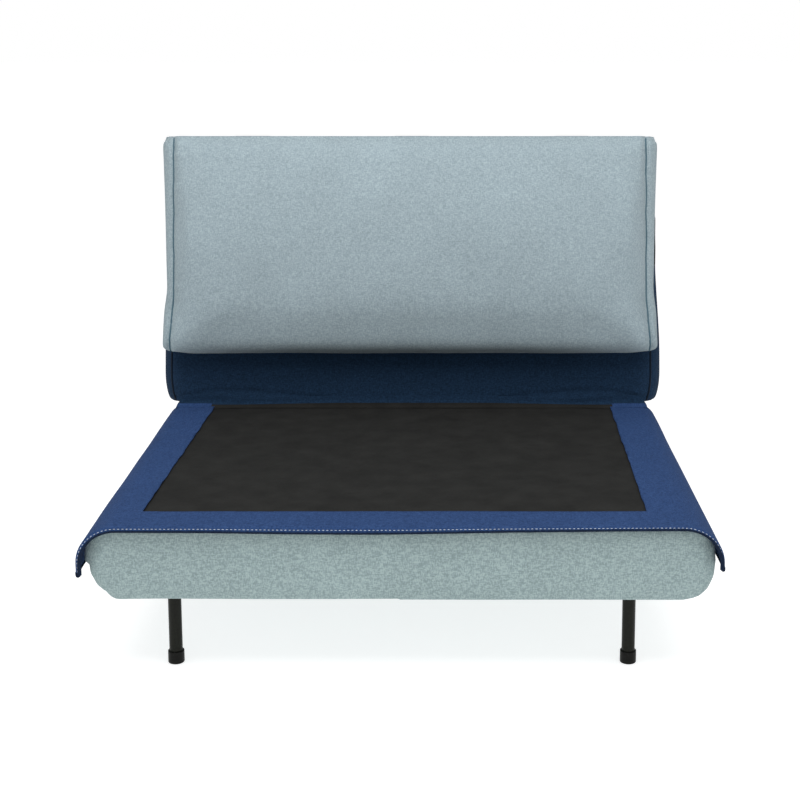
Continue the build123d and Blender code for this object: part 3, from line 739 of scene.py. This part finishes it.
back_seams = tubes("back_side_seams", [back_seam(-1), back_seam(1)], lambda i: 2.3 * MM, 2, navy_thread)
for piece in (back_cushion, back_skin, back_seams):
    piece.data.transform(BACK)
    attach(piece, "back")
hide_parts("back_foam", "back_cover")
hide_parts("back_deck_cover")

# %% [markdown]
# ## The seat cushion
# The seat is the firmest: a rounded bolster with a flat front panel. It stays almost straight, with a slight
# crown on the front panel and the underside, so its cap is small. Its top is pressed flat under the deck,
# and it spreads a little towards the front.

# %% Blow up the seat cushion
SEAT_VOXEL = 10 * MM
FRONT_ROUND, REAR_ROUND = 58 * MM, 34 * MM
LOW_LEFT_ROUND = 40 * MM
seat_near, seat_far = -HINGE_INSET, -seat_reach
seat_bottom, seat_top = HINGE_INSET - seat_depth, HINGE_INSET - 2.5 * MM


def seat_block():
    bm = rounded_block(seat_half - 2 * MM, (seat_far + 3 * MM, seat_near - 1 * MM),
                       (seat_bottom + 3 * MM, seat_top - 1 * MM), 54 * MM, (4 * MM, 6 * MM))
    return object_from(bm, "seat_cushion", light_weave)


seat_cushion = blown_up(seat_block(), lambda p: 1.0 if p.z > seat_top - 12 * MM or p.y > -30 * MM else 0.0,
                        6 * MM, 3.0, SEAT_VOXEL)


def corner_radius(t):
    """The round of the seat's upper sides, t in front of the recline axis: tighter at the rear."""
    return REAR_ROUND + (FRONT_ROUND - REAR_ROUND) * unit(t / (700 * MM))


def flare(t):
    """How much wider than the frame the padding stands on each side: it spreads towards the front."""
    return (-5 + 11 * unit(t / (690 * MM))) * MM


def seat_rule(p):
    low_radius = FRONT_ROUND if p.x > 0 else LOW_LEFT_ROUND
    radius = corner_radius(-p.y) if p.z > (seat_bottom + seat_top) / 2 else low_radius
    p = round_side(p, seat_half - 0.3 * MM + flare(-p.y), seat_bottom + 0.3 * MM, seat_top, radius)
    p.y = max(min(p.y, seat_near), seat_far + 0.3 * MM)
    wave = noise.noise((p.x * 5, p.y * 5, p.z * 9)) * 0.8 * MM
    p.z = max(p.z + wave * ease(-p.z, 40 * MM, 90 * MM), seat_bottom + 0.3 * MM)
    p.z = min(p.z, seat_top - 0.4 * MM)
    return p


shaped(seat_cushion, seat_rule)
print("seat cushion", len(seat_cushion.data.polygons), "faces")

# %% [markdown]
# ## The navy deck cover
# The cover is one wide cloth laid over the seat. It runs across the deck, over the round sides and down to
# two free edges, and it turns down over the front edge. It is drawn flat first, with S measured across the
# cloth and Y along the seat, and each point is then wrapped round the section: flat, arc, and straight down.
# The window for the lining is cut along its own lines before the wrap, so its edges are clean.

# %% Wrap a flat cloth over the seat
COVER_GAP = 1.5 * MM
ARC = FRONT_ROUND + COVER_GAP
FLAT = seat_half + COVER_GAP - ARC
DROP = 78 * MM
SIDE_RUN = FLAT + math.pi / 2 * ARC + (DROP - ARC)
SHORT_SIDE = 9 * MM
FRONT_LAP = 7.6 * MM
FRONT_BEND = 5 * MM
cover_top = HINGE_INSET - 1.0 * MM


def section_point(s, t, lift):
    """X and Z at distance s across the cloth, and the outward direction there."""
    a = abs(s)
    sign = math.copysign(1.0, s)
    if a <= FLAT:
        return s, cover_top + lift, (0.0, 1.0)
    arc = corner_radius(t) + COVER_GAP
    flat = FLAT + ARC - arc
    run = flat + math.pi / 2 * arc + (DROP - arc)
    a = FLAT + (a - FLAT) * (run - FLAT) / (SIDE_RUN - FLAT)
    if a <= flat:
        return a * sign, cover_top + lift, (0.0, 1.0)
    turn = min((a - flat) / arc, math.pi / 2)
    x = flat + (arc + lift + flare(t) - 1.8 * MM) * math.sin(turn)
    z = cover_top - arc + (arc + lift) * math.cos(turn)
    below = max(0.0, a - flat - math.pi / 2 * arc)
    return x * sign, z - below, (math.sin(turn) * sign, math.cos(turn))


def wrapped(s, t):
    """A point of the flat cloth, t metres in front of the recline axis, laid on the seat."""
    side = ease(abs(s), FLAT, SIDE_RUN)
    lift = (0.8 + 1.6 * side + noise.noise((s * 6, t * 6, 5.0)) * (0.5 + 1.0 * side)) * MM
    if s > FLAT:
        s -= SHORT_SIDE * (s - FLAT) / (SIDE_RUN - FLAT)
    x, z, out = section_point(s, t, lift)
    past = t - (seat_reach - 1.0 * MM)
    if past <= 0:
        return Vector((x, -t, z))
    past *= 1.0 + 0.35 * math.exp(-((s + 0.08) / 0.2) ** 2) - 0.25 * ease(s, 0.05, 0.4)
    turn = min(past / FRONT_BEND, math.pi / 2)
    down = FRONT_BEND * (1 - math.cos(turn)) + max(0.0, past - FRONT_BEND * math.pi / 2)
    y = -(seat_reach - 1.0 * MM) - FRONT_BEND * math.sin(turn)
    return Vector((x - out[0] * down, y, z - out[1] * down))


# %% The cloth itself, with its window
WINDOW_FRONT = 679 * MM
WINDOW_FRONT_X = (-421 * MM, 400 * MM)
WINDOW_REAR_X = (-406 * MM, 410 * MM)


def window_edge(t, side):
    """X of the window's left (0) or right (1) edge at t; the cloth was cut a little askew."""
    f = t / WINDOW_FRONT
    return WINDOW_REAR_X[side] * (1 - f) + WINDOW_FRONT_X[side] * f


def deck_cloth():
    bm = flat_grid(SIDE_RUN, (HINGE_INSET + 2 * MM, seat_reach + FRONT_LAP), (180, 90))
    cuts = [((0, WINDOW_FRONT, 0), (0, 1, 0))]
    for side in (0, 1):
        lean = Vector((WINDOW_FRONT_X[side] - WINDOW_REAR_X[side], WINDOW_FRONT, 0))
        cuts.append(((WINDOW_REAR_X[side], 0, 0), (lean.y, -lean.x, 0)))
    cuts.append(((0, seat_reach + 3 * MM, 0), (0, 1, 0)))
    for at, across in cuts:
        everything = bm.verts[:] + bm.edges[:] + bm.faces[:]
        bmesh.ops.bisect_plane(bm, geom=everything, plane_co=at, plane_no=across)
    inside = []
    for face in bm.faces:
        c = face.calc_center_median()
        if c.y < WINDOW_FRONT and window_edge(c.y, 0) < c.x < window_edge(c.y, 1):
            inside.append(face)
    bmesh.ops.delete(bm, geom=inside, context="FACES")
    for vertex in bm.verts:
        if vertex.is_boundary and abs(vertex.co.x) < FLAT and vertex.co.y < seat_reach:
            vertex.co.x += noise.noise((vertex.co.x * 2, vertex.co.y * 24, 8.0)) * 2.2 * MM
            vertex.co.y += noise.noise((vertex.co.x * 16, vertex.co.y * 2, 3.0)) * 1.2 * MM
        vertex.co = wrapped(vertex.co.x, vertex.co.y)
    bmesh.ops.recalc_face_normals(bm, faces=bm.faces[:])
    return thickened(object_from(bm, "seat_deck_cover_sheet", navy_weave), 1.6 * MM, 0)


deck_cover = deck_cloth()
print("deck cover", len(deck_cover.data.polygons), "faces")


# %% [markdown]
# The hem is the cloth's edge rolled twice into a cord along the front and down the free side edges; it is
# drawn in a navy several times darker than the deck cloth. Where the front hem meets the side hem at the
# bottom, four layers lie on each other in a thick ear.
# A row of white top stitching holds it, close to the edge.

# %% Rolled hem
def front_path(past, count=220, ends=1.0):
    """Points along the front edge of the cloth, from ear to ear, past metres beyond the seat's front."""
    run = SIDE_RUN * ends
    return [wrapped(-run + 2 * run * i / count, seat_reach + past) for i in range(count + 1)]


def side_path(sign, count=60):
    return [wrapped(sign * SIDE_RUN, HINGE_INSET + 4 * MM + (seat_reach - 12 * MM) * i / count)
            for i in range(count + 1)]


def front_hem_radius(i):
    end = abs(2 * i / (len(hem_line) - 1) - 1)
    return (1.8 + 1.6 * ease(end, 0.86, 1.0) + 0.15 * noise.noise((i * 0.21, 0, 0))) * MM


def side_hem(name, sign, ear):
    """The hem down one side edge; it swells by ear, in millimetres, at its front end."""
    path = side_path(sign)

    def radius(i):
        swell = ear * ease(i / len(path), 0.95, 1.0)
        return (2.4 + swell + 0.3 * noise.noise((i * 0.3, sign, 0))) * MM

    return tubes(name, [path], radius, 3, hem_weave)


hem_line = front_path(FRONT_LAP + 0.6 * MM)
front_hem = tubes("front_hem", [hem_line], front_hem_radius, 3, hem_weave)
side_hems = [side_hem("side_hem_left", -1, 2.6), side_hem("side_hem_right", 1, 1.6)]
stitch_path = [p + Vector((0, -0.5 * MM, 0.6 * MM)) for p in front_path(4.6 * MM, 320, 0.99)]
top_stitch = stitch_row("hem_stitches", stitch_path, 4.0 * MM, 2.6 * MM, 0.5 * MM, white_thread)
print("hem", len(front_hem.data.polygons), "faces, stitches", len(top_stitch.data.polygons), "faces")


# %% [markdown]
# ## The lining
# The black lining lies just under the window and is tacked to the frame. It sags a little between the slats.

# %% Lining sheet
SLAT_PITCH = 78 * MM


def lining_cloth():
    lap = 8 * MM
    half = 0.5 * (WINDOW_FRONT_X[1] - WINDOW_FRONT_X[0]) + lap
    middle = 0.25 * (sum(WINDOW_FRONT_X) + sum(WINDOW_REAR_X))
    bm = flat_grid(half, (HINGE_INSET + 1 * MM, WINDOW_FRONT + lap), (120, 90), x=middle)
    for vertex in bm.verts:
        s, t = vertex.co.x, vertex.co.y
        sag = 0.25 * MM * (1 - math.cos(t / SLAT_PITCH * 2 * math.pi))
        ripple = noise.noise((s * 5, t * 8, 9.0)) * 0.5 * MM
        vertex.co = Vector((s, -t, cover_top - 1.4 * MM - sag + ripple))
    bmesh.ops.recalc_face_normals(bm, faces=bm.faces[:])
    return thickened(object_from(bm, "seat_lining_sheet", felt), 0.8 * MM, -1)


lining = lining_cloth()
for piece in (seat_cushion, deck_cover, front_hem, *side_hems, top_stitch, lining):
    piece.data.transform(SEAT)
    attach(piece, "seat")
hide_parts("seat_foam", "seat_cover")
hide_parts("seat_deck_cover")
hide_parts("seat_lining")


# %% [markdown]
# ## The fabric hinge
# The navy cloth runs on from the seat into the back. It is a narrow strip in the corner between them that
# must bend as the back reclines; here it is built once in the shared frame and attached to neither body.

# %% Strip that crosses the recline joint
STRIP_HALF = seat_half - 22 * MM
FELT_HALF = 414 * MM


def hinge_strip():
    """The strip, with V from 0 on the seat to 1 up the back: black over the window and the deck's navy at its
    ends on the seat; elsewhere a darker navy, painted shade under the back.
    """
    bm = bmesh.new()
    size = Matrix.Diagonal((STRIP_HALF, 1, 1, 1))
    bmesh.ops.create_grid(bm, x_segments=150, y_segments=18, size=1.0, matrix=size)
    for face in bm.faces:
        middle = face.calc_center_median()
        if abs(middle.x) < FELT_HALF and middle.y < -0.25:
            face.material_index = 1
        elif abs(middle.x) > FELT_HALF and middle.y < -0.15:
            face.material_index = 2
    seat_edge = Vector((0, -HINGE_INSET, HINGE_INSET + 0.9 * MM))
    up = Vector((0, math.sin(LEAN), math.cos(LEAN)))
    out = Vector((0, -math.cos(LEAN), math.sin(LEAN)))
    wall = seat_edge + up * 1 * MM + out * 1.5 * MM
    for vertex in bm.verts:
        v = (vertex.co.y + 1) / 2
        across = abs(vertex.co.x)
        bend = (3 + 8 * ease(across, 0.33, 0.43)) * MM
        lift = 7 * MM * (1 - ease(across, 0.12, 0.42))
        turn = unit((v - 0.25) / 0.4) * math.pi / 2
        centre = wall + out * bend + up * bend
        place = centre - up * bend * math.cos(turn) - out * bend * math.sin(turn)
        place -= Vector((0, 1, 0)) * 7 * MM * max(0.0, 0.25 - v) / 0.25
        place += up * (9 * MM * max(0.0, v - 0.65) / 0.35 + lift * ease(v, 0.2, 0.5))
        crumple = noise.noise((vertex.co.x * 22, v * 2.5, 6.0)) * 1.5 * MM * ease(v, 0.2, 0.5)
        place += out * (crumple * ease(across, 0.2, 0.42) + 1.2 * MM * (1 - v))
        rest = 15.4 * MM if across > FELT_HALF else 12.6 * MM
        place.z += (rest - place.z) * (1 - ease(v, 0.2, 0.45))
        narrow = 1 - 0.022 * ease(v, 0.3, 0.9)
        vertex.co = Vector((vertex.co.x * narrow, place.y, place.z))
    bmesh.ops.recalc_face_normals(bm, faces=bm.faces[:])
    # Faces left at index 0 take the darker navy: painted shade in the corner under the back.
    made = object_from(bm, "fabric_hinge_sheet", back_navy_painted_shade)
    made.data.materials.append(felt)
    made.data.materials.append(navy_weave)
    thickened(made, 0.8 * MM, -1)
    made.data.transform(SEAT)
    return made


fabric_hinge = hinge_strip()
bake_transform(fabric_hinge)
print("fabric hinge", len(fabric_hinge.data.polygons), "faces")

# %% [markdown]
# ## Light and camera
# A wide soft source overhead and a weaker one from the front fill the folds. The floor and the background
# are white, so the sofa stands on nothing but its own soft shadow.

# %% Studio
def area_light(name, place, target, size, power):
    data = bpy.data.lights.new(name, "AREA")
    data.shape = "RECTANGLE"
    data.size, data.size_y = size
    data.energy = power
    made = bpy.data.objects.new(name, data)
    bpy.context.scene.collection.objects.link(made)
    made.location = place
    made.rotation_euler = (Vector(target) - Vector(place)).to_track_quat("-Z", "Y").to_euler()
    return made


area_light("overhead", (0.0, -0.9, 2.05), (0, 0, 0.3), (2.6, 1.5), 45)
area_light("front_fill", (0.3, -3.6, 1.3), (0, 0, 0.3), (3.0, 1.8), 12)
world = bpy.data.worlds.new("studio")
world.use_nodes = True
sky = world.node_tree.nodes["Background"]
sky.inputs["Color"].default_value = (1, 1, 1, 1)
seen = world.node_tree.nodes.new("ShaderNodeLightPath")
strength = world.node_tree.nodes.new("ShaderNodeMapRange")
strength.inputs["To Min"].default_value = 0.55
strength.inputs["To Max"].default_value = 1.0
world.node_tree.links.new(seen.outputs["Is Camera Ray"], strength.inputs["Value"])
world.node_tree.links.new(strength.outputs["Result"], sky.inputs["Strength"])
bpy.context.scene.world = world
bpy.context.scene.view_settings.view_transform = "Standard"


def studio_floor():
    bm = bmesh.new()
    bmesh.ops.create_grid(bm, x_segments=2, y_segments=2, size=30.0)
    made, tree, shader = tree_of("pale_floor")
    grain = stretched_noise(tree, (3, 3, 3), 2.0)
    colour = ramp(tree, grain, ((0.3, (0.57, 0.57, 0.57)), (0.7, (0.59, 0.59, 0.59))))
    tree.links.new(colour, shader.inputs["Base Color"])
    shader.inputs["Roughness"].default_value = 0.9
    shader.inputs["Specular IOR Level"].default_value = 0.1
    shader.inputs["Emission Color"].default_value = (1, 1, 1, 1)
    shader.inputs["Emission Strength"].default_value = 0.69
    floor = object_from(bm, "studio_floor", made)
    floor.data.transform(Matrix.Translation((0, 0, -0.0005)))
    return floor


floor = studio_floor()

# %% Camera
camera_data = bpy.data.cameras.new("camera")
camera_data.lens = 66.9
camera_data.shift_x = -0.065
camera_data.shift_y = -0.175
camera = bpy.data.objects.new("camera", camera_data)
bpy.context.scene.collection.objects.link(camera)
camera.location = (0.083, -2.735, 1.064)
camera.rotation_euler = (math.radians(90 - 9.39), 0, 0)
bpy.context.scene.camera = camera
